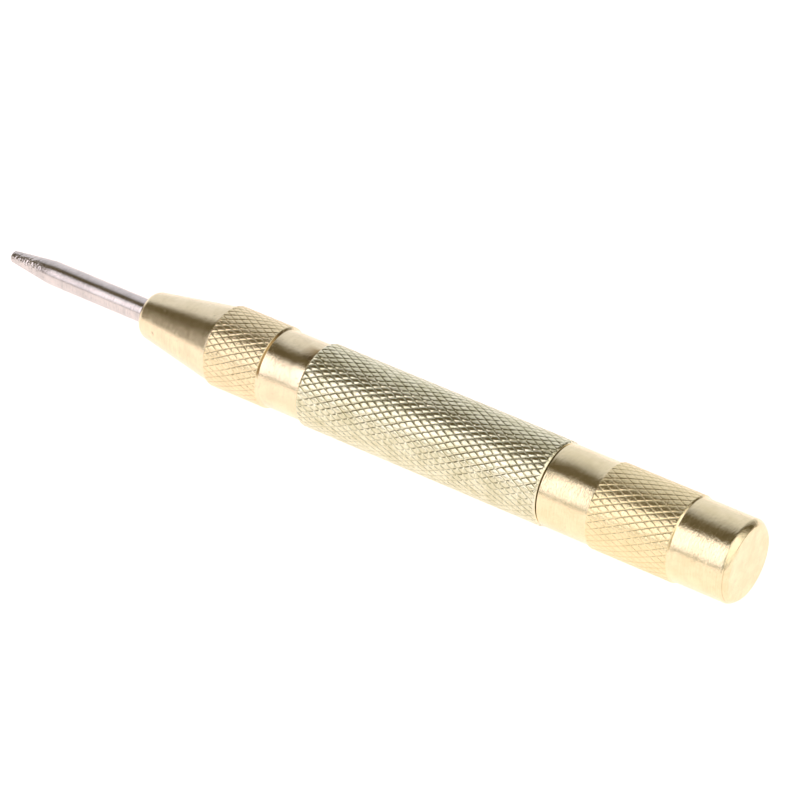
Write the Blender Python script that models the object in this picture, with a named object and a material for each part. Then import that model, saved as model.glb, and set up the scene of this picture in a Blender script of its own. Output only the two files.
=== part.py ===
"""Automatic centre punch, lying on its side, with its spring mechanism.

Frame: metres, +Z up. The tool's axis runs along X, the striking tip at -X and
the adjusting cap at +X. The origin is below the middle of the tool, on the
surface it lies on. Stations are measured along the axis from the tip.
"""

import math

import bpy
import bmesh
from mathutils import Vector

MM = 0.001

# Whole tool
LENGTH = 130.0
SIDES = 32
GAP = 0.3
MIDDLE = LENGTH / 2

# Punch point
TIP_R = 0.62
TIP_ROUND = 0.32
TAPER_END = 7.7
SHAFT_R = 1.87
COLLAR_FRONT = 40.9
COLLAR_REAR = 44.0
COLLAR_R = 3.7
FOOT_SOCKET_R = 2.7
FOOT_SOCKET_DEPTH = 1.3

# Nose cap
NOSE_FRONT = 26.3
NOSE_FACE_R = 2.34
NOSE_ROUND = 1.4
CONE_END = 40.4
CONE_END_R = 6.0
NOSE_LAND_END = 40.8
NOSE_KNURL_R = 6.33
NOSE_KNURL_END = 50.4
NOSE_REAR = 50.7
BAND_R = 5.98
BAND_END = 57.4
NOSE_SPIGOT_R = 4.9
NOSE_SPIGOT_END = 65.9
NOSE_BORE_R = 2.17
CHAMBER_FRONT = 40.6
CHAMBER_R = 4.1

# Body
BODY_FRONT = BAND_END + GAP
BODY_R = 6.45
BODY_CHAMFER = 0.3
BODY_REAR = 99.05
SOCKET_R = NOSE_SPIGOT_R + GAP
WEB_FRONT = 66.2
WEB_REAR = 69.5
WEB_CONE_END = 68.0
WEB_CONE_R = 3.3
WEB_HOLE_R = 2.5
MAIN_BORE_R = 4.5
BODY_SPIGOT_R = 5.25
BODY_SPIGOT_END = 111.0

# Trip pin, leaning by PIN_TILT about the point's socket at rest
PIN_FRONT = 43.05
PIN_PIVOT = 43.4
PIN_FOOT_R = 2.2
PIN_SHOULDER = 58.0
PIN_CONE_END = 60.0
PIN_THIN_R = 1.0
PIN_REAR = 70.1
PIN_TILT = math.radians(2.8)

# Hammer
HAMMER_FRONT = 70.6
HAMMER_REAR = 86.6
HAMMER_R = 4.1
HAMMER_HOLE_R = 1.3
HAMMER_HOLE_DEPTH = 12.0

# Springs: (front, rear, mean radius, wire radius, turns)
RETURN_SPRING = (COLLAR_REAR + GAP, WEB_FRONT - GAP, 3.55, 0.25, 8.0)
MAIN_SPRING = (HAMMER_REAR + GAP, 118.9, 3.4, 0.6, 10.0)
SPRING_STEPS = 20
WIRE_SIDES = 8

# Spring seat
SEAT_FRONT = 119.2
SEAT_REAR = 122.9
SEAT_R = 4.2
SEAT_BOSS_R = 2.4
SEAT_BOSS_LENGTH = 3.0

# End cap
CAP_FRONT = BODY_REAR + GAP
CAP_BAND_R = 6.25
CAP_KNURL_FRONT = 107.4
CAP_KNURL_R = 6.52
CAP_KNURL_END = 120.45
CAP_STEP_END = 120.85
CAP_REAR_R = 6.27
CAP_ROUND = 1.35
CAP_THREAD_R = BODY_SPIGOT_R + GAP
CAP_THREAD_END = 111.6
CAP_BORE_R = 4.55
CAP_BORE_END = SEAT_REAR + GAP
EDGE_CHAMFER = 0.25

# The lowest flat of the widest ring lies on z = 0.
AXIS_HEIGHT = CAP_KNURL_R * math.cos(math.pi / SIDES)


def clear_scene():
    """Remove every object and leave an empty scene."""
    for obj in list(bpy.data.objects):
        bpy.data.objects.remove(obj, do_unlink=True)


def make_material(name, colour, roughness, metallic):
    """A plain Principled material."""
    material = bpy.data.materials.new(name)
    material.use_nodes = True
    shader = material.node_tree.nodes["Principled BSDF"]
    shader.inputs["Base Color"].default_value = (*colour, 1.0)
    shader.inputs["Roughness"].default_value = roughness
    shader.inputs["Metallic"].default_value = metallic
    material.diffuse_color = (*colour, 1.0)
    return material


def add_piece(name, bm, material, station, sharp_degrees=30.0):
    """Turn a bmesh in millimetres, local to a station, into a placed object."""
    bmesh.ops.recalc_face_normals(bm, faces=bm.faces[:])
    bmesh.ops.scale(bm, vec=Vector((MM, MM, MM)), verts=bm.verts[:])
    mesh = bpy.data.meshes.new(name)
    bm.to_mesh(mesh)
    bm.free()
    mesh.shade_smooth()
    mesh.set_sharp_from_angle(angle=math.radians(sharp_degrees))
    mesh.materials.append(material)
    obj = bpy.data.objects.new(name, mesh)
    bpy.context.scene.collection.objects.link(obj)
    obj.location = ((station - MIDDLE) * MM, 0.0, AXIS_HEIGHT * MM)
    return obj


def lathe(profile, origin):
    """Revolve a closed loop of (station, radius) about X, with a flat facing down.

    A corner with radius 0 lies on the axis and becomes one shared vertex.
    """
    bm = bmesh.new()
    rings = []
    for station, radius in profile:
        x = station - origin
        if radius == 0.0:
            rings.append([bm.verts.new((x, 0.0, 0.0))])
            continue
        ring = []
        for side in range(SIDES):
            angle = 2 * math.pi * (side + 0.5) / SIDES
            ring.append(bm.verts.new((x, radius * math.cos(angle), radius * math.sin(angle))))
        rings.append(ring)
    count = len(rings)
    for index in range(count):
        first = rings[index]
        second = rings[(index + 1) % count]
        if len(first) == 1 and len(second) == 1:
            continue
        for side in range(SIDES):
            after = (side + 1) % SIDES
            if len(first) == 1:
                bm.faces.new((first[0], second[side], second[after]))
            elif len(second) == 1:
                bm.faces.new((first[side], second[0], first[after]))
            else:
                bm.faces.new((first[side], second[side], second[after], first[after]))
    return bm


def arc(centre, radius, start_degrees, end_degrees, steps):
    """Points (station, radius) along a circular arc in the profile plane."""
    points = []
    for step in range(steps + 1):
        angle = math.radians(start_degrees + (end_degrees - start_degrees) * step / steps)
        points.append((centre[0] + radius * math.cos(angle), centre[1] + radius * math.sin(angle)))
    return points


def punch_point_profile():
    """Blunt round tip, taper, plain shaft and a rear collar with a socket."""
    taper_degrees = math.degrees(math.atan2(SHAFT_R - TIP_R - TIP_ROUND, TAPER_END - TIP_ROUND))
    points = [(0.0, 0.0)]
    points += arc((TIP_ROUND, TIP_R), TIP_ROUND, 180.0, 90.0 + taper_degrees, 4)
    points += [
        (TAPER_END, SHAFT_R),
        (COLLAR_FRONT, SHAFT_R),
        (COLLAR_FRONT, COLLAR_R - EDGE_CHAMFER),
        (COLLAR_FRONT + EDGE_CHAMFER, COLLAR_R),
        (COLLAR_REAR - EDGE_CHAMFER, COLLAR_R),
        (COLLAR_REAR, COLLAR_R - EDGE_CHAMFER),
        (COLLAR_REAR, FOOT_SOCKET_R),
        (COLLAR_REAR - FOOT_SOCKET_DEPTH, FOOT_SOCKET_R - 0.3),
        (COLLAR_REAR - FOOT_SOCKET_DEPTH, 0.0),
    ]
    return points


def nose_cap_profile():
    """Rounded front, cone, knurl ring, smooth band and a rear spigot, bored through."""
    rounding = arc((NOSE_FRONT + NOSE_ROUND, NOSE_FACE_R), NOSE_ROUND, 180.0, 100.0, 6)
    return [
        (NOSE_FRONT, NOSE_BORE_R),
        *rounding,
        (CONE_END, CONE_END_R),
        (NOSE_LAND_END, NOSE_KNURL_R - 0.25),
        (NOSE_LAND_END + 0.2, NOSE_KNURL_R),
        (NOSE_KNURL_END, NOSE_KNURL_R),
        (NOSE_REAR, BAND_R),
        (BAND_END, BAND_R),
        (BAND_END, NOSE_SPIGOT_R),
        (NOSE_SPIGOT_END - EDGE_CHAMFER, NOSE_SPIGOT_R),
        (NOSE_SPIGOT_END, NOSE_SPIGOT_R - EDGE_CHAMFER),
        (NOSE_SPIGOT_END, CHAMBER_R),
        (CHAMBER_FRONT, CHAMBER_R),
        (CHAMBER_FRONT, NOSE_BORE_R),
    ]


def body_profile():
    """Grip tube with a front socket, a centring web, the main bore and a rear spigot."""
    return [
        (BODY_FRONT, SOCKET_R),
        (BODY_FRONT, BODY_R - BODY_CHAMFER),
        (BODY_FRONT + BODY_CHAMFER, BODY_R),
        (BODY_REAR - BODY_CHAMFER, BODY_R),
        (BODY_REAR, BODY_R - BODY_CHAMFER),
        (BODY_REAR, BODY_SPIGOT_R),
        (BODY_SPIGOT_END - EDGE_CHAMFER, BODY_SPIGOT_R),
        (BODY_SPIGOT_END, BODY_SPIGOT_R - EDGE_CHAMFER),
        (BODY_SPIGOT_END, MAIN_BORE_R),
        (WEB_REAR, MAIN_BORE_R),
        (WEB_REAR, WEB_HOLE_R),
        (WEB_CONE_END, WEB_HOLE_R),
        (WEB_FRONT, WEB_CONE_R),
        (WEB_FRONT, SOCKET_R),
    ]


def trip_pin_profile():
    """Stout foot, short cone and a thin rear end."""
    return [
        (PIN_FRONT, 0.0),
        (PIN_FRONT, PIN_FOOT_R - 0.6),
        (PIN_FRONT + 0.3, PIN_FOOT_R - 0.15),
        (PIN_FRONT + 0.8, PIN_FOOT_R),
        (PIN_SHOULDER, PIN_FOOT_R),
        (PIN_CONE_END, PIN_THIN_R),
        (PIN_REAR - 0.2, PIN_THIN_R),
        (PIN_REAR, PIN_THIN_R - 0.2),
        (PIN_REAR, 0.0),
    ]


def hammer_profile():
    """Cylinder with a blind hole for the pin in its front face."""
    return [
        (HAMMER_FRONT + HAMMER_HOLE_DEPTH, 0.0),
        (HAMMER_FRONT + HAMMER_HOLE_DEPTH, HAMMER_HOLE_R),
        (HAMMER_FRONT, HAMMER_HOLE_R),
        (HAMMER_FRONT, HAMMER_R - 0.4),
        (HAMMER_FRONT + 0.4, HAMMER_R),
        (HAMMER_REAR - 0.4, HAMMER_R),
        (HAMMER_REAR, HAMMER_R - 0.4),
        (HAMMER_REAR, 0.0),
    ]


def spring_seat_profile():
    """Disc with a boss that centres the main spring."""
    return [
        (SEAT_FRONT - SEAT_BOSS_LENGTH, 0.0),
        (SEAT_FRONT - SEAT_BOSS_LENGTH, SEAT_BOSS_R - 0.3),
        (SEAT_FRONT - SEAT_BOSS_LENGTH + 0.3, SEAT_BOSS_R),
        (SEAT_FRONT, SEAT_BOSS_R),
        (SEAT_FRONT, SEAT_R),
        (SEAT_REAR - EDGE_CHAMFER, SEAT_R),
        (SEAT_REAR, SEAT_R - EDGE_CHAMFER),
        (SEAT_REAR, 0.0),
    ]


def end_cap_profile():
    """Smooth band, knurl ring, smooth rear with a rounded edge, and a blind threaded bore."""
    rounding = arc((LENGTH - CAP_ROUND, CAP_REAR_R - CAP_ROUND), CAP_ROUND, 90.0, 0.0, 5)
    return [
        (CAP_BORE_END, 0.0),
        (CAP_BORE_END, CAP_BORE_R),
        (CAP_THREAD_END, CAP_BORE_R),
        (CAP_THREAD_END, CAP_THREAD_R),
        (CAP_FRONT, CAP_THREAD_R),
        (CAP_FRONT, CAP_BAND_R - EDGE_CHAMFER),
        (CAP_FRONT + EDGE_CHAMFER, CAP_BAND_R),
        (CAP_KNURL_FRONT, CAP_BAND_R),
        (CAP_KNURL_FRONT + 0.2, CAP_KNURL_R),
        (CAP_KNURL_END, CAP_KNURL_R),
        (CAP_STEP_END, CAP_REAR_R),
        *rounding,
        (LENGTH, 0.0),
    ]


def coil(spring, origin):
    """A round-wire helix about X, ended by flat discs across the wire."""
    front, rear, mean_radius, wire_radius, turns = spring
    bm = bmesh.new()
    steps = int(round(turns * SPRING_STEPS))
    start = front + wire_radius
    travel = rear - front - 2 * wire_radius
    pitch_slope = travel / (2 * math.pi * turns * mean_radius)
    lean = math.atan(pitch_slope)
    rings = []
    for step in range(steps + 1):
        share = step / steps
        angle = 2 * math.pi * turns * share
        outward = Vector((0.0, math.cos(angle), math.sin(angle)))
        along = Vector((math.sin(lean), -math.sin(angle) * math.cos(lean), math.cos(angle) * math.cos(lean)))
        across = along.cross(outward)
        centre = Vector((start + travel * share - origin, 0.0, 0.0)) + mean_radius * outward
        ring = []
        for side in range(WIRE_SIDES):
            turn = 2 * math.pi * side / WIRE_SIDES
            offset = wire_radius * (math.cos(turn) * outward + math.sin(turn) * across)
            ring.append(bm.verts.new(centre + offset))
        rings.append(ring)
    for first, second in zip(rings, rings[1:]):
        for side in range(WIRE_SIDES):
            after = (side + 1) % WIRE_SIDES
            bm.faces.new((first[side], second[side], second[after], first[after]))
    bm.faces.new(rings[0])
    bm.faces.new(list(reversed(rings[-1])))
    return bm


def main():
    clear_scene()
    tool_steel = make_material("tool_steel", (0.56, 0.55, 0.54), 0.3, 1.0)
    dark_steel = make_material("dark_steel", (0.36, 0.36, 0.37), 0.35, 1.0)
    spring_steel = make_material("spring_steel", (0.5, 0.5, 0.51), 0.3, 1.0)
    hammer_steel = make_material("hammer_steel", (0.42, 0.42, 0.43), 0.4, 1.0)
    seat_steel = make_material("seat_steel", (0.5, 0.49, 0.47), 0.4, 1.0)
    return_steel = make_material("return_spring_steel", (0.58, 0.57, 0.56), 0.3, 1.0)
    gold_brass = make_material("gold_brass", (0.86, 0.66, 0.36), 0.22, 1.0)
    cap_brass = make_material("cap_brass", (0.86, 0.66, 0.36), 0.22, 1.0)
    pale_brass = make_material("pale_brass", (0.72, 0.66, 0.42), 0.3, 1.0)

    add_piece("punch_point", lathe(punch_point_profile(), 0.0), tool_steel, 0.0)
    add_piece("nose_cap", lathe(nose_cap_profile(), NOSE_FRONT), gold_brass, NOSE_FRONT)
    add_piece("grip_body", lathe(body_profile(), BODY_FRONT), pale_brass, BODY_FRONT)
    pin = add_piece("trip_pin", lathe(trip_pin_profile(), PIN_PIVOT), dark_steel, PIN_PIVOT)
    pin.rotation_euler = (0.0, -PIN_TILT, 0.0)
    add_piece("hammer", lathe(hammer_profile(), HAMMER_FRONT), hammer_steel, HAMMER_FRONT)
    add_piece("return_spring", coil(RETURN_SPRING, RETURN_SPRING[0]), return_steel, RETURN_SPRING[0], 60.0)
    add_piece("main_spring", coil(MAIN_SPRING, MAIN_SPRING[0]), spring_steel, MAIN_SPRING[0], 60.0)
    add_piece("spring_seat", lathe(spring_seat_profile(), SEAT_FRONT), seat_steel, SEAT_FRONT)
    add_piece("end_cap", lathe(end_cap_profile(), CAP_FRONT), cap_brass, CAP_FRONT)


main()
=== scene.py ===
"""Automatic centre punch, lying on a pale studio table.

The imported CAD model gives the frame, the joints and the sizes. Every piece is built again here as
a round, finely turned part. Frame: metres, +X from the tip to the end cap, +Z up. Stations are
millimetres along the axis from the tip. Other sizes are millimetres too, unless they say otherwise,
and names that end in _R are radii.
"""

import math
from collections import namedtuple

import bpy
import numpy as np
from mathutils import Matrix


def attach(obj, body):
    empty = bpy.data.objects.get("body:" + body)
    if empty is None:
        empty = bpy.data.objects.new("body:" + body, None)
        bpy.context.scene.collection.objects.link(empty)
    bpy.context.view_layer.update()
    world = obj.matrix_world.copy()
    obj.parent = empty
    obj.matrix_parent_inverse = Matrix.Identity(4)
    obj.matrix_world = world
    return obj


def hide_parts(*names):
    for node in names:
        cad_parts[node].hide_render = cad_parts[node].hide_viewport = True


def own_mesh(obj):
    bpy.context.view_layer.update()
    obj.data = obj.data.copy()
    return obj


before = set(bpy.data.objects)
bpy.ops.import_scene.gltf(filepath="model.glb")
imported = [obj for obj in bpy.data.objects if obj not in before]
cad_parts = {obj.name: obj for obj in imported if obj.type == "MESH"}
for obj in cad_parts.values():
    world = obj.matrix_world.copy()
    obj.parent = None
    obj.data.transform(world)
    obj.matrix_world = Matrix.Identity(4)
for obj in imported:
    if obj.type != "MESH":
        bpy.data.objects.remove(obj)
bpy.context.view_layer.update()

MM = 0.001
MICROMETRE = 1e-6
FULL_TURN = 2 * math.pi
MIDDLE = 65.0
LENGTH = 130.0
CHAMFER = 0.25
# The CAD model's cap has 32 flat sides and lies on one of them.
AXIS_HEIGHT = 6.52 * math.cos(math.pi / 32)

# Knurls: grooves of one family around a ring, and mesh cells from one groove to the next
STARTS = 36
FINE = 14
GRIP_FINE = 10
# How far mesh lines move towards the grooves, and the least gap in cells between two rings
CROWDING = 0.45
LEAST_GAP = 0.3
# In periods: the pit of a diamond, how far a groove strays, where the mesh is even at each end
PIT_SIZE = 0.17
WANDER = 0.05
RUN_OUT = 0.6
# Shares by which the depth of a groove varies
DEEP_CHANGE = 0.25
SHALLOW_CHANGE = 0.45

# Punch point
TIP_R = 0.62
TIP_ROUND = 0.32
TAPER_END = 7.7
SHAFT_R = 1.87
COLLAR_FRONT = 40.9
COLLAR_REAR = 44.0
COLLAR_R = 3.7
FOOT_SOCKET_R = 2.7
FOOT_SOCKET_SLOPE = 0.3
FOOT_SOCKET_DEPTH = 1.3
# Where the marks of the grinding wheel end
GROUND_END = TAPER_END - 0.8

# Nose cap
NOSE_FRONT = 26.3
NOSE_FACE_R = 2.34
NOSE_ROUND = 1.4
CONE_END = 40.4
CONE_END_R = 6.0
NOSE_LAND_END = 40.8
NOSE_LAND_RISE = 0.06
NOTCH_R = CONE_END_R - 0.22
NOTCH_FRONT = NOSE_LAND_END + 0.06
NOTCH_REAR = NOSE_LAND_END + 0.17
NOSE_KNURL_FRONT = NOSE_LAND_END + 0.2
NOSE_KNURL_R = 6.33
NOSE_KNURL_END = 50.4
NOSE_CHAMFER_END = 50.62
BAND_R = 5.98
BAND_END = 57.62
NOSE_SPIGOT_R = 4.9
NOSE_SPIGOT_END = 65.9
NOSE_BORE_R = 2.17
CHAMBER_FRONT = 40.6
CHAMBER_R = 4.1

# Body
BODY_FRONT = 57.7
BODY_R = 6.45
BODY_CHAMFER = 0.3
BODY_REAR = 99.05
SOCKET_R = 5.2
WEB_FRONT = 66.2
WEB_REAR = 69.5
WEB_CONE_END = 68.0
WEB_CONE_R = 3.3
WEB_HOLE_R = 2.5
MAIN_BORE_R = 4.5
SPIGOT_R = 5.25
SPIGOT_END = 111.0

# Thread of the body: half its root and each flank are shares of the pitch
THREAD_FRONT = 99.9
THREAD_END = 106.4
THREAD_PITCH = 1.0
THREAD_DEPTH = 0.42
THREAD_ROOT = 0.06
THREAD_FLANK = 0.34
THREAD_RUN_OUT = 0.5
THREAD_RINGS = 5

# Trip pin. Its foot is rounded: distances behind its front and below its radius
PIN_FRONT = 43.05
PIN_PIVOT = 43.4
PIN_FOOT_R = 2.2
PIN_FOOT_ROUND = ((0.0, 0.6), (0.3, 0.15), (0.8, 0.0))
PIN_SHOULDER = 58.0
PIN_CONE_END = 60.0
PIN_THIN_R = 1.0
PIN_REAR = 70.1
PIN_CHAMFER = 0.2
PIN_TILT = math.radians(2.8)

# Hammer
HAMMER_FRONT = 70.6
HAMMER_REAR = 86.6
HAMMER_R = 4.1
HAMMER_CHAMFER = 0.4
HAMMER_HOLE_R = 1.3
HAMMER_HOLE_DEPTH = 12.0

# Springs: front, rear, mean radius, wire radius, turns, length at full travel
RETURN_SPRING = (44.3, 65.9, 3.55, 0.25, 8.0, 11.6)
MAIN_SPRING = (86.9, 118.9, 3.4, 0.6, 10.0, 22.0)
# Mesh steps to one turn, and the pitch of a closed turn in wire radii
COIL_STEPS = 40
CLOSED_PITCH = 2.1

# Spring seat
SEAT_FRONT = 119.2
SEAT_REAR = 122.9
SEAT_R = 4.2
SEAT_BOSS_R = 2.4
SEAT_BOSS_LENGTH = 3.0
SEAT_BOSS_CHAMFER = 0.3

# End cap
CAP_FRONT = 99.25
CAP_FRONT_CHAMFER = 0.06
CAP_BAND_R = 6.25
CAP_KNURL_FRONT = 107.4
CAP_KNURL_RISE = 0.15
CAP_KNURL_R = 6.52
CAP_KNURL_END = 120.45
CAP_REAR_R = 6.27
CAP_THREAD_R = 5.55
CAP_THREAD_END = 111.6
CAP_BORE_R = 4.55
CAP_BORE_END = 123.2
# Its rear corner: radius of the curve, how much flatter it is midway, and where in degrees of slope
CAP_CURVE = 0.62
CAP_FLAT = 3.0
CAP_FLAT_AT = 40.0
CAP_FLAT_SPREAD = 12.0
# A faint painted shadow line round that corner
CAP_LINE_FRONT = LENGTH - 0.66
CAP_LINE_REAR = LENGTH - 0.55

# Kinds of a ring of a profile
PLAIN, KNURLED, THREADED = 0, 1, 2

# Painted shade, dark marks in the gaps and steps beside a knurl: first and last station, greatest
# radius, lowest and highest angle above the front in degrees, and amount. It fades out over the
# degrees set below.
PaintedShade = namedtuple("PaintedShade", "first last top lowest highest amount")
PAINTED_SHADE_FADE = 8.0


# ---------------------------------------------------------------- geometry

def place(station):
    """World X of a station."""
    return (station - MIDDLE) * MM


def arc(centre, radius, start_degrees, end_degrees, steps):
    """Points (station, radius) along a circular arc in the profile plane."""
    points = []
    for step in range(steps + 1):
        angle = math.radians(start_degrees + (end_degrees - start_degrees) * step / steps)
        points.append((centre[0] + radius * math.cos(angle), centre[1] + radius * math.sin(angle)))
    return points


def eased(loop, size, steps=3, least_degrees=12.0):
    """The closed profile with each corner rounded off over about size on both sides."""
    count = len(loop)
    result = []
    for index in range(count):
        here = np.array(loop[index], float)
        before = np.array(loop[index - 1], float)
        after = np.array(loop[(index + 1) % count], float)
        if here[1] == 0.0:
            result.append((here[0], 0.0, 0.0))
            continue
        back, ahead = before - here, after - here
        back_length, ahead_length = np.linalg.norm(back), np.linalg.norm(ahead)
        if min(back_length, ahead_length) < 1e-9:
            continue
        back, ahead = back / back_length, ahead / ahead_length
        turn = math.degrees(math.acos(max(-1.0, min(1.0, float(-back @ ahead)))))
        if turn < least_degrees:
            result.append((here[0], here[1], 0.0))
            continue
        reach = min(size, 0.42 * back_length, 0.42 * ahead_length)
        first, last = here + back * reach, here + ahead * reach
        for step in range(steps + 1):
            t = step / steps
            point = (1 - t) ** 2 * first + 2 * t * (1 - t) * here + t ** 2 * last
            result.append((point[0], point[1], 1.0))
    return result


def wobble(angle, x, seed):
    """A smooth irregular field around the axis, about -1 to 1."""
    return (
        0.40 * np.sin(3 * angle + 0.31 * x + seed)
        + 0.30 * np.sin(7 * angle - 0.83 * x + 2.1 * seed)
        + 0.20 * np.sin(13 * angle + 1.70 * x + 3.7 * seed)
        + 0.25 * np.sin(23 * angle - 2.90 * x + 5.3 * seed)
    )


class Knurl:
    """Two families of V grooves that cross, on a grid whose diagonals they follow.

    Depths are in millimetres, for the shallow family and the deep one. Widths are in periods, for
    the rearward and the forward wall of a shallow groove and for both walls of a deep one. Between
    the grooves each diamond is domed, a little differently along the two families, and has a small
    pit in its middle."""

    def __init__(self, front, end, radius, pitch, fine, depths, widths, domes, pit, uneven, seed):
        self.front, self.end, self.radius, self.pitch = front, end, radius, pitch
        self.fine = fine
        self.shallow, self.deep = depths
        self.widths, self.domes, self.pit = widths, domes, pit
        self.uneven, self.seed = uneven, seed

    def stations(self, low, high):
        """Stations of the knurl's own rings between the two rings beside it."""
        step = self.pitch / self.fine
        first = math.ceil((low - self.front) / step + LEAST_GAP)
        last = math.floor((high - self.front) / step - LEAST_GAP)
        return [self.front + step * index for index in range(first, last + 1)]

    def crowd(self, t):
        """Moves grid lines towards the grooves. t counts periods from a groove."""
        return t - CROWDING * np.sin(FULL_TURN * t) / FULL_TURN

    def grid(self, angle, x):
        """Moved (angle, x) of the grid, with the place between grooves of both families."""
        around = angle * STARTS / FULL_TURN
        along = (x - self.front) / self.pitch
        fade = np.clip((x - self.front) / (RUN_OUT * self.pitch), 0, 1)
        fade = fade * np.clip((self.end - x) / (RUN_OUT * self.pitch), 0, 1)
        a, b = around + along, around - along
        moved_a = a + fade * (self.crowd(a) - a)
        moved_b = b + fade * (self.crowd(b) - b)
        new_angle = (moved_a + moved_b) / 2 * FULL_TURN / STARTS
        new_x = self.front + (moved_a - moved_b) / 2 * self.pitch
        return new_angle, new_x, moved_a, moved_b

    def depth(self, angle, x, a, b):
        """Depth below the crest and how far into a groove a point lies."""
        def uneven(size, shift):
            return size * self.uneven * wobble(angle, x, self.seed + shift)

        a = a + uneven(WANDER, 0.0)
        b = b + uneven(WANDER, 4.0)
        gap_a = np.abs(a - np.round(a))
        gap_b = np.abs(b - np.round(b))
        deep = self.deep * (1 + uneven(DEEP_CHANGE, 1.0))
        shallow = self.shallow * (1 + uneven(SHALLOW_CHANGE, 2.0))
        rearward, forward, both = self.widths
        width_a = np.where(a < np.round(a), rearward, forward)
        cut_a = shallow * np.clip(1 - gap_a / width_a, 0, 1)
        cut_b = deep * np.clip(1 - gap_b / both, 0, 1)
        cut = np.maximum(cut_a, cut_b)
        dome_a, dome_b = self.domes
        shoulder = dome_a * (1 - 2 * gap_a) ** 2 + dome_b * (1 - 2 * gap_b) ** 2
        from_middle = ((0.5 - gap_a) ** 2 + (0.5 - gap_b) ** 2) / PIT_SIZE ** 2
        pit = self.pit * np.clip(1 - from_middle, 0, 1)
        return cut + shoulder + pit, np.clip(cut / self.deep, 0, 1)


def thread_cut(angle, x):
    """How far into the groove of the thread, 0 to 1, a point lies."""
    in_turn = (x / THREAD_PITCH - angle / FULL_TURN) % 1.0
    flank = np.clip((np.abs(in_turn - 0.5) - THREAD_ROOT) / THREAD_FLANK, 0, 1)
    fade = np.clip((x - THREAD_FRONT) / THREAD_RUN_OUT, 0, 1)
    fade = fade * np.clip((THREAD_END - x) / THREAD_RUN_OUT, 0, 1)
    return (1 - flank) * fade


def painted_shade_around(station, radius, angle, painted_shades):
    """How much painted shade, 0 to 1, lies at each point of a ring."""
    painted_shade = np.zeros(len(angle))
    above_front = (180.0 - np.degrees(angle) + 180.0) % 360.0 - 180.0
    for first, last, top, lowest, highest, amount in painted_shades:
        if first < station < last and radius < top:
            window = np.clip((above_front - lowest) / PAINTED_SHADE_FADE + 0.5, 0, 1)
            window = window * np.clip((highest - above_front) / PAINTED_SHADE_FADE + 0.5, 0, 1)
            painted_shade = np.maximum(painted_shade, amount * window)
    return painted_shade


def revolve(name, rings, sides, knurl=None, painted_shades=()):
    """A closed body of revolution. rings holds (station, radius, edge, kind) in order round the
    profile, and edge is 1 on a worn corner."""
    points, faces, marks = [], [], []
    start = []
    angles = FULL_TURN * np.arange(sides) / sides
    for station, radius, edge, kind in rings:
        start.append((len(points), radius == 0.0))
        if radius == 0.0:
            points.append((place(station), 0.0, 0.0))
            marks.append((0.0, 0.0, 0.0, 0.0))
            continue
        x = np.full(sides, float(station))
        turn = angles
        size = np.full(sides, float(radius))
        groove = np.zeros(sides)
        if kind == KNURLED:
            turn, x, a, b = knurl.grid(turn, x)
            drop, groove = knurl.depth(turn, x, a, b)
            size = np.minimum(size, knurl.radius - drop)
            groove = groove * (size < radius - 1e-6)
        if kind == THREADED:
            groove = thread_cut(turn, x)
            size = size - THREAD_DEPTH * groove
        # How much painted shade each point of this ring carries.
        painted_shade = painted_shade_around(station, radius, turn, painted_shades)
        y, z = size * np.cos(turn), size * np.sin(turn)
        for index in range(sides):
            points.append((place(x[index]), y[index] * MM, z[index] * MM))
            marks.append((groove[index], edge, painted_shade[index], float(kind == KNURLED)))
    total = len(rings)
    for index in range(total):
        following = (index + 1) % total
        (p, p_tip), (q, q_tip) = start[index], start[following]
        if p_tip and q_tip:
            continue
        split = rings[index][3] == KNURLED and rings[following][3] == KNURLED
        if split:
            middle = (rings[index][0] + rings[following][0]) / 2
            half_cell = FULL_TURN / sides / 2
            _, _, a, b = knurl.grid(angles + half_cell, np.full(sides, middle))
            along_a = np.abs(a - np.round(a)) < np.abs(b - np.round(b))
        for side in range(sides):
            after = (side + 1) % sides
            if p_tip:
                faces.append((p, q + after, q + side))
            elif q_tip:
                faces.append((p + side, p + after, q))
            elif not split:
                faces.append((p + side, p + after, q + after, q + side))
            elif along_a[side]:
                # Angle plus x is the same all along a groove of family a, so it crosses the cell
                # from the far corner of this ring to the near corner of the next.
                faces.append((p + side, p + after, q + side))
                faces.append((p + after, q + after, q + side))
            else:
                faces.append((p + side, q + after, q + side))
                faces.append((p + side, p + after, q + after))
    return finish_mesh(name, points, faces, marks)


def add_object(name, data):
    obj = bpy.data.objects.new(name, data)
    bpy.context.scene.collection.objects.link(obj)
    return obj


def finish_mesh(name, points, faces, marks, sharp=40.0):
    """A placed, smoothly shaded object from points about the axis."""
    mesh = bpy.data.meshes.new(name)
    mesh.from_pydata(points, [], faces)
    mesh.update()
    if signed_volume(mesh) < 0:
        mesh.flip_normals()
    mesh.shade_smooth()
    mesh.set_sharp_from_angle(angle=math.radians(sharp))
    values = np.array(marks, np.float32)
    for column, label in enumerate(("groove", "edge", "painted_shade", "knurled")):
        layer = mesh.attributes.new(label, "FLOAT", "POINT")
        layer.data.foreach_set("value", np.ascontiguousarray(values[:, column]))
    obj = add_object(name, mesh)
    obj.location = (0.0, 0.0, AXIS_HEIGHT * MM)
    return obj


def signed_volume(mesh):
    """Six times the volume, negative when the faces look inwards."""
    mesh.calc_loop_triangles()
    co = np.zeros(len(mesh.vertices) * 3)
    mesh.vertices.foreach_get("co", co)
    co = co.reshape(-1, 3)
    tri = np.zeros(len(mesh.loop_triangles) * 3, np.int32)
    mesh.loop_triangles.foreach_get("vertices", tri)
    tri = tri.reshape(-1, 3)
    normals = np.cross(co[tri[:, 1]], co[tri[:, 2]])
    return float(np.einsum("ij,ij->i", co[tri[:, 0]], normals).sum())


def plain(points):
    """Profile points (station, radius, edge) as plain rings."""
    return [(s, r, e, PLAIN) for s, r, e in points]


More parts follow.
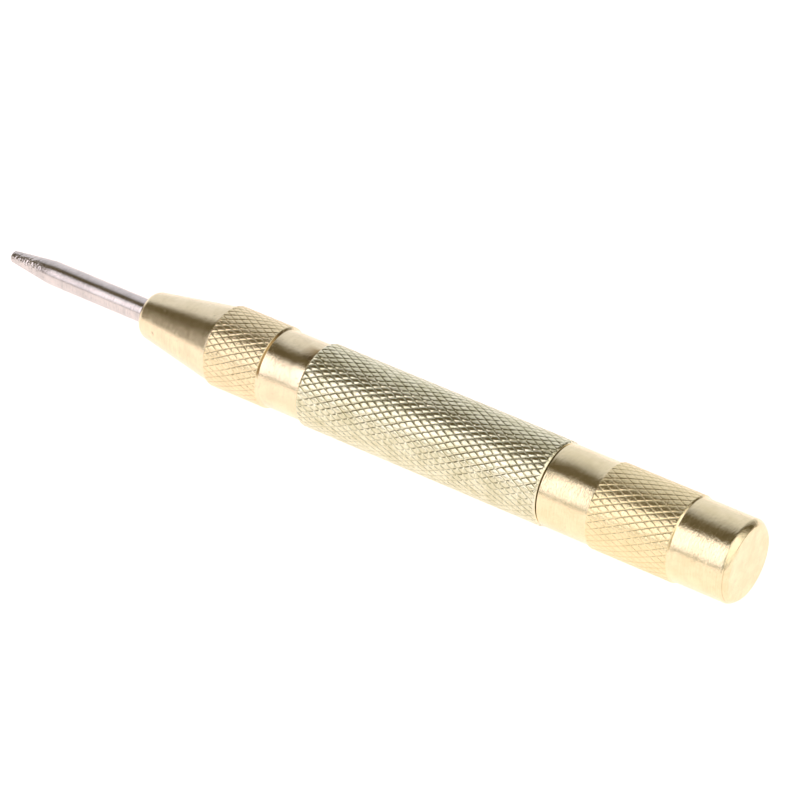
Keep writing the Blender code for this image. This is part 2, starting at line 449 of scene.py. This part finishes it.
def long_rings(points, longest, closed=True):
    """Adds rings on long straight runs, so that faces stay short."""
    result = []
    count = len(points)
    for index in range(count):
        here, after = points[index], points[(index + 1) % count]
        result.append(here)
        if here[1] == 0.0 or after[1] == 0.0 or (index == count - 1 and not closed):
            continue
        forward, outward = after[0] - here[0], after[1] - here[1]
        added = int(math.hypot(forward, outward) / longest)
        for step in range(1, added + 1):
            t = step / (added + 1)
            result.append((here[0] + t * forward, here[1] + t * outward, 0.0))
    return result


def knurled_rings(points, knurl, longest=3.0):
    """Rings of a closed profile whose long outer run carries the knurl. The corners beside the run
    belong to the knurl too, so that its grooves run out over them."""
    count = len(points)
    middle = (knurl.front + knurl.end) / 2
    top = knurl.radius - 0.05
    run = next(i for i in range(count) if points[i][0] < middle < points[(i + 1) % count][0]
               and min(points[i][1], points[(i + 1) % count][1]) > top)
    order = [points[(run + 1 + k) % count] for k in range(count)]
    rings = []
    for s, r, e in long_rings(order, longest, closed=False):
        beside = knurl.front - 0.5 < s < knurl.end + 0.5 and r > knurl.radius - 1.5 * knurl.deep
        rings.append((s, r, e, KNURLED if beside else PLAIN))
    inner = knurl.stations(order[-1][0], order[0][0])
    return rings + [(s, knurl.radius, 0.0, KNURLED) for s in inner]


def coil(name, spring, wire_sides):
    """A compression spring of round wire, with closed end turns."""
    front, rear, mean_radius, wire_radius, turns, _ = spring
    steps = COIL_STEPS
    count = int(turns * steps)
    span = rear - front - 2 * wire_radius
    closed = CLOSED_PITCH * wire_radius
    share = np.linspace(0, turns, count + 1)
    open_pitch = (span - 2 * closed) / (turns - 2)
    last_turn = span - closed * (turns - share)
    open_turns = closed + open_pitch * (share - 1)
    along = np.where(share > turns - 1, last_turn, open_turns)
    along = np.where(share < 1, closed * share, along)
    # The pitch changes smoothly, over half a turn.
    kernel = np.hanning(steps // 2 + 1)
    before = 2 * along[0] - along[steps:0:-1]
    beyond = 2 * along[-1] - along[-2:-steps - 2:-1]
    padded = np.concatenate([before, along, beyond])
    along = np.convolve(padded, kernel / kernel.sum(), mode="same")[steps:-steps]
    along = along - along[0]
    along = along * span / along[-1]
    angle = FULL_TURN * share
    centre = np.stack([front + wire_radius + along,
                       mean_radius * np.cos(angle), mean_radius * np.sin(angle)], 1)
    tangent = np.gradient(centre, axis=0)
    tangent /= np.linalg.norm(tangent, axis=1)[:, None]
    outward = np.stack([np.zeros_like(angle), np.cos(angle), np.sin(angle)], 1)
    across = np.cross(tangent, outward)
    # The end turns are ground flat.
    flat_front, flat_rear = front + 0.25 * wire_radius, rear - 0.25 * wire_radius
    points, faces = [], []
    for ring in range(count + 1):
        for side in range(wire_sides):
            turn = FULL_TURN * side / wire_sides
            around = math.cos(turn) * outward[ring] + math.sin(turn) * across[ring]
            x, y, z = centre[ring] + wire_radius * around
            points.append((place(min(max(x, flat_front), flat_rear)), y * MM, z * MM))
    for ring in range(count):
        for side in range(wire_sides):
            after = (side + 1) % wire_sides
            p, q = ring * wire_sides, (ring + 1) * wire_sides
            faces.append((p + side, p + after, q + after, q + side))
    faces.append(tuple(range(wire_sides)))
    faces.append(tuple(reversed(range(count * wire_sides, (count + 1) * wire_sides))))
    return finish_mesh(name, points, faces, [(0.0, 0.0, 0.0, 0.0)] * len(points), 60.0)


# --------------------------------------------------------------- materials

class Nodes:
    """Short hands for building a node tree."""

    def __init__(self, tree):
        self.tree = tree

    def add(self, kind, **settings):
        node = self.tree.nodes.new(kind)
        for key, value in settings.items():
            setattr(node, key, value)
        return node

    def feed(self, socket, value):
        if hasattr(value, "is_output"):
            self.tree.links.new(value, socket)
        else:
            socket.default_value = value

    def math(self, operation, a, b=0.0, c=0.0, clamp=False):
        node = self.add("ShaderNodeMath", operation=operation, use_clamp=clamp)
        for socket, value in zip(node.inputs, (a, b, c)):
            self.feed(socket, value)
        return node.outputs[0]

    def ramp(self, value, low, high, to_low=0.0, to_high=1.0, smooth=True):
        kind = "SMOOTHSTEP" if smooth else "LINEAR"
        node = self.add("ShaderNodeMapRange", interpolation_type=kind, clamp=True)
        for name, item in (("Value", value), ("From Min", low), ("From Max", high),
                           ("To Min", to_low), ("To Max", to_high)):
            self.feed(node.inputs[name], item)
        return node.outputs["Result"]

    def mix(self, factor, a, b, blend="MIX"):
        node = self.add("ShaderNodeMix", data_type="RGBA", blend_type=blend)
        self.feed(node.inputs["Factor"], factor)
        self.feed(node.inputs[6], a if hasattr(a, "is_output") else (*a, 1.0))
        self.feed(node.inputs[7], b if hasattr(b, "is_output") else (*b, 1.0))
        return node.outputs[2]

    def coordinates(self, kind):
        return self.add("ShaderNodeTexCoord").outputs[kind]

    def split(self, vector):
        node = self.add("ShaderNodeSeparateXYZ")
        self.feed(node.inputs[0], vector)
        return node.outputs

    def noise(self, scale, detail=3.0, roughness=0.55, distortion=0.0):
        """Noise on the object, whose coordinates are metres. scale is cells to a millimetre."""
        stretch = self.add("ShaderNodeMapping")
        self.feed(stretch.inputs["Vector"], self.coordinates("Object"))
        stretch.inputs["Scale"].default_value = tuple(1000.0 * s for s in scale)
        node = self.add("ShaderNodeTexNoise")
        self.feed(node.inputs["Vector"], stretch.outputs["Vector"])
        for name, value in (("Scale", 1.0), ("Detail", detail), ("Roughness", roughness),
                            ("Distortion", distortion)):
            self.feed(node.inputs[name], value)
        return node.outputs["Fac"]

    def attribute(self, name):
        return self.add("ShaderNodeAttribute", attribute_name=name).outputs["Fac"]


# How much the rings, the grain and the grooves change the roughness
RING_DULLING = 0.10
GRAIN_DULLING = 0.06
GROOVE_DULLING = 0.14
# Height of the grinding wheel's marks, against the strokes of the cloth
WHEEL_HEIGHT = 7.0


def turned_metal(name, light, dark, stain_and_shade, roughness, marks, comb, grain, nicks, dirt, dots=0.0,
                 patina=(1.0, 1.0, 1.0), dulled=0.0, ground=None):
    """Turned metal. marks, comb, grain and nicks are heights in micrometres: fine rings round the
    axis, short strokes of a polishing cloth, isotropic grain, and small dents. dirt is how much
    the stain shows in grooves, and dots how much in scattered spots. The same stain colour is
    painted as shade where the mesh's shade mask lies. On a knurl the colour is multiplied by patina
    and the roughness raised by dulled. In front of the station ground, the strokes are the coarse
    ones of a grinding wheel."""
    material = bpy.data.materials.new(name)
    material.use_nodes = True
    tree = material.node_tree
    n = Nodes(tree)
    shader = tree.nodes["Principled BSDF"]
    shader.inputs["Metallic"].default_value = 1.0
    cloudy = n.noise((0.35, 0.45, 0.45), 4.0, 0.6)
    rings = n.noise((5.5, 0.35, 0.35), 3.0, 0.7)
    strokes = n.noise((5.0, 1.5, 1.5), 3.0, 0.62, 0.5)
    speck = n.noise((6.0, 6.0, 6.0), 3.0, 0.65)
    dents = n.ramp(n.noise((2.4, 2.4, 2.4), 2.0, 0.5), 0.64, 0.74)
    groove = n.attribute("groove")
    edge = n.attribute("edge")
    tone = n.math("MULTIPLY_ADD", cloudy, 0.6, n.math("MULTIPLY", rings, 0.4))
    colour = n.mix(n.ramp(tone, 0.36, 0.64), light, dark)
    colour = n.mix(n.math("MULTIPLY", groove, dirt, clamp=True), colour, stain_and_shade)
    colour = n.mix(n.math("MULTIPLY", dents, 0.15), colour, stain_and_shade)
    worn = n.math("MULTIPLY", n.math("MULTIPLY", edge, 0.35), n.ramp(speck, 0.35, 0.6))
    colour = n.mix(worn, colour, tuple(min(1.0, 1.05 * c) for c in light))
    if dots:
        spots = n.noise((0.9, 0.9, 0.9), 1.0, 0.4)
        colour = n.mix(n.ramp(spots, 0.74, 0.79, 0.0, dots), colour, stain_and_shade)
    knurled = n.attribute("knurled")
    colour = n.mix(knurled, colour, patina, "MULTIPLY")
    # Painted shade: darkens towards the stain colour where the shade mask lies, in the gaps and
    # steps beside the knurls.
    colour = n.mix(n.attribute("painted_shade"), colour, stain_and_shade)
    n.feed(shader.inputs["Base Color"], colour)
    gloss = n.math("MULTIPLY_ADD", rings, RING_DULLING, roughness - RING_DULLING / 2)
    gloss = n.math("MULTIPLY_ADD", speck, GRAIN_DULLING, gloss)
    gloss = n.math("MULTIPLY_ADD", groove, GROOVE_DULLING * dirt, gloss)
    gloss = n.math("MULTIPLY_ADD", knurled, dulled, gloss, clamp=True)
    n.feed(shader.inputs["Roughness"], gloss)
    if ground is not None:
        x = n.split(n.coordinates("Object"))[0]
        coarse = n.ramp(x, place(ground + 0.3), place(ground - 1.6))
        wheel = n.noise((2.5, 1.9, 1.9), 1.0, 0.5)
        strokes = n.math("MULTIPLY_ADD", n.math("MULTIPLY", wheel, coarse), WHEEL_HEIGHT, strokes)
    normal = None
    for height, distance in ((rings, marks), (strokes, comb), (speck, grain), (dents, -nicks)):
        bump = n.add("ShaderNodeBump", invert=distance < 0)
        bump.inputs["Strength"].default_value = 1.0
        bump.inputs["Distance"].default_value = abs(distance) * MICROMETRE
        n.feed(bump.inputs["Height"], height)
        if normal is not None:
            n.feed(bump.inputs["Normal"], normal)
        normal = bump.outputs["Normal"]
    n.feed(shader.inputs["Normal"], normal)
    return material


# Lighter and darker tone of each metal, and the tint of a knurl that has been handled
NOSE_GOLD = ((0.95, 0.80, 0.55), (0.86, 0.71, 0.475))
CAP_GOLD = ((0.95, 0.80, 0.525), (0.87, 0.72, 0.445))
PALE = ((0.93, 0.87, 0.66), (0.74, 0.68, 0.46))
STEEL = ((0.78, 0.69, 0.655), (0.63, 0.56, 0.535))
HANDLED_GOLD = (1.0, 0.985, 0.91)
HANDLED_PALE = (0.97, 0.965, 0.94)

gold_brass = turned_metal(
    "gold_brass", *NOSE_GOLD, stain_and_shade=(0.32, 0.20, 0.07), roughness=0.105,
    marks=5, comb=30, grain=13, nicks=12, dirt=0.32, dots=0.35, patina=HANDLED_GOLD, dulled=0.09)
cap_brass = turned_metal(
    "cap_brass", *CAP_GOLD, stain_and_shade=(0.45, 0.30, 0.09), roughness=0.11,
    marks=5, comb=45, grain=3, nicks=3, dirt=0.30, patina=HANDLED_GOLD, dulled=0.10)
pale_brass = turned_metal(
    "pale_brass", *PALE, stain_and_shade=(0.16, 0.14, 0.07), roughness=0.15,
    marks=3, comb=8, grain=8, nicks=6, dirt=0.36, patina=HANDLED_PALE)
tool_steel = turned_metal(
    "tool_steel", *STEEL, stain_and_shade=(0.1, 0.09, 0.08), roughness=0.15,
    marks=7, comb=24, grain=13, nicks=3, dirt=0.3, ground=GROUND_END)

# Slot, shade and roughness of the steels inside
INNER_STEELS = (
    ("dark_steel", 0.40, 0.32), ("hammer_steel", 0.46, 0.34), ("spring_steel", 0.54, 0.28),
    ("return_spring_steel", 0.61, 0.26), ("seat_steel", 0.51, 0.36),
)
steels = {
    slot: turned_metal(
        slot, (shade, shade, 1.02 * shade), (0.75 * shade,) * 3, stain_and_shade=(0.08, 0.08, 0.08),
        roughness=roughness, marks=6, comb=5, grain=3, nicks=3, dirt=0.4)
    for slot, shade, roughness in INNER_STEELS
}


# ------------------------------------------------------------------ pieces

def dress(obj, material, body, node):
    obj.data.materials.append(material)
    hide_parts(node)
    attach(obj, body)


def build_point():
    taper = math.degrees(math.atan2(SHAFT_R - TIP_R - TIP_ROUND, TAPER_END - TIP_ROUND))
    tip = arc((TIP_ROUND, TIP_R), TIP_ROUND, 180.0, 90.0 + taper, 8)
    socket_floor = COLLAR_REAR - FOOT_SOCKET_DEPTH
    loop = [(0.0, 0.0), *tip, (TAPER_END, SHAFT_R), (COLLAR_FRONT, SHAFT_R),
            (COLLAR_FRONT, COLLAR_R - CHAMFER), (COLLAR_FRONT + CHAMFER, COLLAR_R),
            (COLLAR_REAR - CHAMFER, COLLAR_R), (COLLAR_REAR, COLLAR_R - CHAMFER),
            (COLLAR_REAR, FOOT_SOCKET_R), (socket_floor, FOOT_SOCKET_R - FOOT_SOCKET_SLOPE),
            (socket_floor, 0.0)]
    obj = revolve("punch_point_v", plain(long_rings(eased(loop, 0.06), 1.0)), 160)
    dress(obj, tool_steel, "point", "punch_point")


def build_nose():
    knurl = Knurl(NOSE_KNURL_FRONT, NOSE_KNURL_END, NOSE_KNURL_R, pitch=1.94, fine=FINE,
                  depths=(0.048, 0.055), widths=(0.15, 0.08, 0.085), domes=(0.018, 0.024),
                  pit=0.022, uneven=0.6, seed=1.0)
    rounding = arc((NOSE_FRONT + NOSE_ROUND, NOSE_FACE_R), NOSE_ROUND, 180.0, 100.0, 14)
    loop = [(NOSE_FRONT, NOSE_BORE_R), *rounding, (CONE_END, CONE_END_R),
            (NOSE_LAND_END, CONE_END_R + NOSE_LAND_RISE), (NOTCH_FRONT, NOTCH_R),
            (NOTCH_REAR, NOTCH_R), (NOSE_KNURL_FRONT, NOSE_KNURL_R),
            (NOSE_KNURL_END - 0.08, NOSE_KNURL_R), (NOSE_KNURL_END + 0.02, NOSE_KNURL_R - 0.1),
            (NOSE_CHAMFER_END, BAND_R), (BAND_END, BAND_R),
            (BAND_END, NOSE_SPIGOT_R), (NOSE_SPIGOT_END - CHAMFER, NOSE_SPIGOT_R),
            (NOSE_SPIGOT_END, NOSE_SPIGOT_R - CHAMFER), (NOSE_SPIGOT_END, CHAMBER_R),
            (CHAMBER_FRONT, CHAMBER_R), (CHAMBER_FRONT, NOSE_BORE_R)]
    rings = knurled_rings(eased(loop, 0.05), knurl)
    # Painted shade: dark marks behind the knurl and at the band's rear end, only on the side the
    # light leaves dark, and all round the notch in front of the knurl.
    painted_shades = [PaintedShade(NOSE_KNURL_END, NOSE_CHAMFER_END, top=NOSE_KNURL_R - 0.04,
                  lowest=19.0, highest=93.0, amount=0.95),
             PaintedShade(NOSE_LAND_END, NOSE_KNURL_FRONT, top=CONE_END_R - 0.05,
                  lowest=-180.0, highest=180.0, amount=0.6),
             PaintedShade(BAND_END - 0.2, BAND_END + 0.1, top=BAND_R + 0.1,
                  lowest=68.0, highest=92.0, amount=0.9)]
    obj = revolve("nose_cap_v", rings, STARTS * FINE, knurl, painted_shades)
    dress(obj, gold_brass, "handle", "nose_cap")


def build_body():
    knurl = Knurl(BODY_FRONT + BODY_CHAMFER, BODY_REAR - BODY_CHAMFER, BODY_R, pitch=2.0,
                  fine=GRIP_FINE, depths=(0.070, 0.12), widths=(0.18, 0.12, 0.10),
                  domes=(0.022, 0.028), pit=0.012, uneven=1.0, seed=2.0)
    loop = [(BODY_FRONT, SOCKET_R), (BODY_FRONT, BODY_R - BODY_CHAMFER),
            (BODY_FRONT + BODY_CHAMFER, BODY_R), (BODY_REAR - BODY_CHAMFER, BODY_R),
            (BODY_REAR, BODY_R - BODY_CHAMFER), (BODY_REAR, SPIGOT_R),
            (SPIGOT_END - CHAMFER, SPIGOT_R), (SPIGOT_END, SPIGOT_R - CHAMFER),
            (SPIGOT_END, MAIN_BORE_R), (WEB_REAR, MAIN_BORE_R), (WEB_REAR, WEB_HOLE_R),
            (WEB_CONE_END, WEB_HOLE_R), (WEB_FRONT, WEB_CONE_R), (WEB_FRONT, SOCKET_R)]
    length = THREAD_END - THREAD_FRONT
    count = int(length / THREAD_PITCH * THREAD_RINGS)
    thread = [(THREAD_FRONT + length * k / count, SPIGOT_R, 0.0, THREADED)
              for k in range(count + 1)]
    rings = []
    for ring in knurled_rings(eased(loop, 0.05, 1), knurl, 12.0):
        station, radius = ring[:2]
        on_spigot = abs(radius - SPIGOT_R) < 1e-6 and station > BODY_REAR
        if on_spigot and THREAD_FRONT < station < THREAD_END:
            continue
        if on_spigot and station >= THREAD_END:
            rings += thread
            thread = []
        rings.append(ring)
    obj = revolve("grip_body_v", rings, STARTS * GRIP_FINE, knurl)
    dress(obj, pale_brass, "handle", "grip_body")


def cap_rounding():
    """The cap's rounded rear corner, flatter midway. The curve is walked by its slope, from along
    the side to across the end."""
    steps = 48
    points = [(0.0, CAP_REAR_R)]
    for step in range(steps):
        slope = 90.0 * (step + 0.5) / steps
        flatter = 1.0 + CAP_FLAT * math.exp(-((slope - CAP_FLAT_AT) / CAP_FLAT_SPREAD) ** 2)
        length = CAP_CURVE * flatter * math.radians(90.0 / steps)
        x, r = points[-1]
        direction = math.radians(slope)
        points.append((x + length * math.cos(direction), r - length * math.sin(direction)))
    return [(x + LENGTH - points[-1][0], r) for x, r in points]


def build_cap():
    knurl = Knurl(CAP_KNURL_FRONT + CAP_KNURL_RISE, CAP_KNURL_END, CAP_KNURL_R, pitch=2.1,
                  fine=FINE, depths=(0.042, 0.04), widths=(0.14, 0.075, 0.075),
                  domes=(0.018, 0.022), pit=0.02, uneven=0.3, seed=3.0)
    shoulder = arc((CAP_KNURL_END, CAP_REAR_R), CAP_KNURL_R - CAP_REAR_R, 90.0, 40.0, 5)
    root = CAP_KNURL_END + CAP_KNURL_R - CAP_REAR_R
    loop = [(CAP_BORE_END, 0.0), (CAP_BORE_END, CAP_BORE_R), (CAP_THREAD_END, CAP_BORE_R),
            (CAP_THREAD_END, CAP_THREAD_R), (CAP_FRONT, CAP_THREAD_R),
            (CAP_FRONT, CAP_BAND_R - CAP_FRONT_CHAMFER),
            (CAP_FRONT + CAP_FRONT_CHAMFER, CAP_BAND_R), (CAP_KNURL_FRONT, CAP_BAND_R),
            (CAP_KNURL_FRONT + CAP_KNURL_RISE, CAP_KNURL_R),
            *shoulder, (root + 0.1, CAP_REAR_R), *cap_rounding(), (LENGTH, 0.0)]
    rings = knurled_rings(eased(loop, 0.04), knurl)
    # Painted shade: a dark mark where the knurl meets the rear band, on one side only, and a faint
    # painted shadow line round the rear corner.
    painted_shades = [PaintedShade(root - 0.08, root + 0.09, top=CAP_REAR_R + 0.17,
                  lowest=18.0, highest=46.0, amount=0.6),
             PaintedShade(CAP_LINE_FRONT, CAP_LINE_REAR, top=CAP_REAR_R,
                  lowest=-45.0, highest=38.0, amount=0.25)]
    obj = revolve("end_cap_v", rings, STARTS * FINE, knurl, painted_shades)
    dress(obj, cap_brass, "cap", "end_cap")


def build_pin():
    foot = [(PIN_FRONT + behind, PIN_FOOT_R - below) for behind, below in PIN_FOOT_ROUND]
    loop = [(PIN_FRONT, 0.0), *foot, (PIN_SHOULDER, PIN_FOOT_R), (PIN_CONE_END, PIN_THIN_R),
            (PIN_REAR - PIN_CHAMFER, PIN_THIN_R), (PIN_REAR, PIN_THIN_R - PIN_CHAMFER),
            (PIN_REAR, 0.0)]
    obj = revolve("trip_pin_v", plain(long_rings(eased(loop, 0.15), 2.0)), 96)
    pivot = place(PIN_PIVOT)
    points = np.array([v.co[:] for v in obj.data.vertices])
    along, up = points[:, 0] - pivot, points[:, 2].copy()
    points[:, 0] = pivot + along * math.cos(PIN_TILT) - up * math.sin(PIN_TILT)
    points[:, 2] = along * math.sin(PIN_TILT) + up * math.cos(PIN_TILT)
    obj.data.vertices.foreach_set("co", points.astype(np.float32).ravel())
    obj.data.update()
    dress(obj, steels["dark_steel"], "pin", "trip_pin")


def build_hammer():
    hole_floor = HAMMER_FRONT + HAMMER_HOLE_DEPTH
    loop = [(hole_floor, 0.0), (hole_floor, HAMMER_HOLE_R),
            (HAMMER_FRONT, HAMMER_HOLE_R), (HAMMER_FRONT, HAMMER_R - HAMMER_CHAMFER),
            (HAMMER_FRONT + HAMMER_CHAMFER, HAMMER_R), (HAMMER_REAR - HAMMER_CHAMFER, HAMMER_R),
            (HAMMER_REAR, HAMMER_R - HAMMER_CHAMFER), (HAMMER_REAR, 0.0)]
    obj = revolve("hammer_v", plain(long_rings(eased(loop, 0.12), 2.0)), 128)
    dress(obj, steels["hammer_steel"], "hammer_block", "hammer")


def build_seat():
    boss = SEAT_FRONT - SEAT_BOSS_LENGTH
    loop = [(boss, 0.0), (boss, SEAT_BOSS_R - SEAT_BOSS_CHAMFER),
            (boss + SEAT_BOSS_CHAMFER, SEAT_BOSS_R), (SEAT_FRONT, SEAT_BOSS_R),
            (SEAT_FRONT, SEAT_R), (SEAT_REAR - CHAMFER, SEAT_R), (SEAT_REAR, SEAT_R - CHAMFER),
            (SEAT_REAR, 0.0)]
    obj = revolve("spring_seat_v", plain(long_rings(eased(loop, 0.08), 2.0)), 128)
    dress(obj, steels["seat_steel"], "seat", "spring_seat")


def build_springs():
    obj = coil("return_spring_v", RETURN_SPRING, 10)
    dress(obj, steels["return_spring_steel"], "handle", "return_spring")
    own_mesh(obj)
    obj = coil("main_spring_v", MAIN_SPRING, 14)
    dress(obj, steels["spring_steel"], "handle", "main_spring")
    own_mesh(obj)


build_point()
build_nose()
build_body()
build_cap()
build_pin()
build_hammer()
build_seat()
build_springs()


# ------------------------------------------------------------------- stage

# The backdrop's foot is below the floor and inside its rim. Metres and degrees.
FLOOR_RADIUS = 3.0
FLOOR_HEIGHT = -3.5e-5
BACKDROP_RADIUS = 2.95
BACKDROP_FOOT = -2.0
BACKDROP_SIDES, BACKDROP_ROWS = 96, 24

# Camera: degrees, metres, and millimetres of lens. It looks just to the right of the middle.
AZIMUTH = 35.1
ELEVATION = 36.3
DISTANCE = 0.562
SHIFT_RIGHT = 0.00553
SHIFT_UP = 0.00026
LENS = 175.2


def circle(radius):
    """Points (x, y) around the stage."""
    turns = [FULL_TURN * k / BACKDROP_SIDES for k in range(BACKDROP_SIDES)]
    return [(radius * math.cos(turn), radius * math.sin(turn)) for turn in turns]


def emissive(name, colour, emission, diffuse):
    material = bpy.data.materials.new(name)
    material.use_nodes = True
    shader = material.node_tree.nodes["Principled BSDF"]
    shader.inputs["Base Color"].default_value = (diffuse, diffuse, diffuse, 1.0)
    shader.inputs["Roughness"].default_value = 0.9
    shader.inputs["Specular IOR Level"].default_value = 0.0
    shader.inputs["Emission Color"].default_value = (*colour, 1.0)
    shader.inputs["Emission Strength"].default_value = emission
    return material


def build_floor():
    points = [(x, y, FLOOR_HEIGHT) for x, y in circle(FLOOR_RADIUS)]
    mesh = bpy.data.meshes.new("floor")
    mesh.from_pydata(points, [], [tuple(range(len(points)))])
    mesh.materials.append(emissive("pale_table", (1.03, 0.97, 0.955), 0.92, 0.35))
    obj = add_object("floor", mesh)


def build_backdrop():
    """A pale surround that only the camera sees."""
    sides, rows = BACKDROP_SIDES, BACKDROP_ROWS
    points, faces = [], []
    for row in range(rows + 1):
        lift = math.radians(BACKDROP_FOOT + (90.0 - BACKDROP_FOOT) * row / rows)
        height = BACKDROP_RADIUS * math.sin(lift)
        points += [(x, y, height) for x, y in circle(BACKDROP_RADIUS * math.cos(lift))]
    for row in range(rows):
        low, high = row * sides, (row + 1) * sides
        for k in range(sides):
            after = (k + 1) % sides
            faces.append((low + k, low + after, high + after, high + k))
    mesh = bpy.data.meshes.new("backdrop")
    mesh.from_pydata(points, [], faces)
    mesh.materials.append(emissive("pale_backdrop", (1.0, 1.0, 1.0), 1.0, 0.0))
    obj = add_object("backdrop", mesh)
    obj.visible_glossy = False
    obj.visible_diffuse = False
    obj.visible_shadow = False
    obj.visible_transmission = False


# Strength of each part of the studio by degrees above the horizon, and its tint
WALL = ((0, 0.96), (12, 0.92), (36, 0.82), (48, 0.73), (54, 0.62), (57, 0.47), (62, 0.38),
        (72, 0.26), (84, 0.14))
PASSAGE = ((0, 0.5), (20, 0.42), (27, 0.5), (33, 0.75), (40, 0.92), (55, 0.95), (60, 0.68),
           (72, 0.58), (86, 0.3))
BANK = ((0, 1.0), (9, 1.3), (15, 1.5), (22, 1.6), (31, 1.75), (41, 1.7), (50, 1.75), (60, 1.75))
WALL_TINT = (0.97, 0.995, 1.05)
PASSAGE_TINT = (1.0, 0.99, 0.97)
BANK_TINT = (1.0, 0.99, 1.06)
# Colours of the parts that are even
ROOM = (0.118, 0.098, 0.055)
DIM_SCREEN = (0.36, 0.33, 0.28)
LOW_SCREEN = (0.75, 0.73, 0.68)
SIDE_LIGHT = (1.38, 1.36, 1.31)
FRONT_SEAM = (0.24, 0.21, 0.16)
SIDE_SEAM = (0.26, 0.22, 0.15)
ZENITH = 90.0


def build_studio():
    """Soft light by compass angle and height above the horizon, in degrees. Angle 0 is -Y and 90 is
    +X; the rear angle is 0 at +Y and 90 at -X."""
    world = bpy.data.worlds.new("studio")
    bpy.context.scene.world = world
    world.use_nodes = True
    tree = world.node_tree
    tree.nodes.clear()
    n = Nodes(tree)
    x, y, z = n.split(n.coordinates("Generated"))
    to_degrees = 180.0 / math.pi
    height = n.math("MULTIPLY", n.math("ARCSINE", z), to_degrees)
    front = n.math("MULTIPLY", n.math("ARCTAN2", x, n.math("MULTIPLY", y, -1.0)), to_degrees)
    rear = n.math("MULTIPLY", n.math("ARCTAN2", n.math("MULTIPLY", x, -1.0), y), to_degrees)

    def rise(value, low, high, smooth=True):
        return n.ramp(value, low, high, smooth=smooth)

    def fall(value, low, high, smooth=True):
        return n.ramp(value, low, high, 1.0, 0.0, smooth)

    def over_height(stops, tint):
        """A tint whose strength changes with the height above the horizon."""
        def shade(strength):
            return (*(strength * t for t in tint), 1.0)

        node = n.add("ShaderNodeValToRGB")
        n.feed(node.inputs["Fac"], rise(height, 0.0, ZENITH, smooth=False))
        elements = node.color_ramp.elements
        elements[0].position, elements[1].position = stops[0][0] / ZENITH, stops[-1][0] / ZENITH
        elements[0].color, elements[1].color = shade(stops[0][1]), shade(stops[-1][1])
        for degrees, strength in stops[1:-1]:
            elements.new(degrees / ZENITH).color = shade(strength)
        return node.outputs["Color"]

    def layer(below, colour, *masks):
        mask = masks[0]
        for other in masks[1:]:
            mask = n.math("MULTIPLY", mask, other)
        return n.mix(mask, below, colour)

    # In the dark room, a dim screen to the left of the tool.
    light = layer(ROOM, DIM_SCREEN,
                  rise(front, -102, -92), fall(front, -56, -44), fall(height, 2, 34))
    # The wall behind the tool. Its left edge leans inwards above 48 degrees.
    above = n.math("MAXIMUM", n.math("SUBTRACT", height, 48.0), 0.0)
    slanted = n.math("MULTIPLY_ADD", above, 1.6, rear)
    light = layer(light, over_height(WALL, WALL_TINT),
                  rise(rear, -27, 8, smooth=False), fall(slanted, 68, 93))
    # In front of the tool, a passage to the right and the bank of lamps to the left.
    light = layer(light, over_height(PASSAGE, PASSAGE_TINT), rise(front, -4, 4), fall(front, 29, 37))
    leaning = n.math("MULTIPLY_ADD", height, 0.2, front)
    light = layer(light, over_height(BANK, BANK_TINT), rise(leaning, -43, -36), fall(front, -4, 5),
                  rise(height, 1.5, 7), fall(height, 56.5, 60.5))
    # To the right of the passage, a low screen with the side light above it and beyond it.
    light = layer(light, LOW_SCREEN,
                  rise(front, 29, 37), fall(front, 74, 90), fall(height, 12, 18))
    light = layer(light, SIDE_LIGHT, rise(front, 29, 37), fall(front, 102, 139, smooth=False),
                  n.math("MAXIMUM", rise(height, 5, 16), rise(front, 62, 80)),
                  fall(height, 70, 84))
    # Darker seams along the horizon, where the table ends.
    light = layer(light, FRONT_SEAM,
                  fall(height, 1.6, 3.2), rise(front, -110, -90), fall(front, 80, 95))
    light = layer(light, SIDE_SEAM, fall(height, 5, 9), rise(front, 80, 95), fall(front, 150, 165))
    background = n.add("ShaderNodeBackground")
    n.feed(background.inputs["Color"], light)
    background.inputs["Strength"].default_value = 1.0
    output = n.add("ShaderNodeOutputWorld")
    n.feed(output.inputs[0], background.outputs[0])


def build_camera():
    azimuth, elevation = math.radians(AZIMUTH), math.radians(ELEVATION)
    right = np.array([math.cos(azimuth), math.sin(azimuth), 0.0])
    back = np.array([math.cos(elevation) * math.sin(azimuth),
                     -math.cos(elevation) * math.cos(azimuth), math.sin(elevation)])
    up = np.cross(back, right)
    middle = np.array([0.0, 0.0, AXIS_HEIGHT * MM])
    data = bpy.data.cameras.new("camera")
    data.lens = LENS
    data.sensor_width = 36.0
    data.clip_start = 0.01
    data.clip_end = 20.0
    camera = add_object("camera", data)
    camera.location = middle + SHIFT_RIGHT * right + SHIFT_UP * up + DISTANCE * back
    camera.rotation_euler = (math.radians(90.0) - elevation, 0.0, azimuth)
    bpy.context.scene.camera = camera


build_floor()
build_backdrop()
build_studio()
build_camera()
bpy.context.scene.view_settings.view_transform = "Standard"
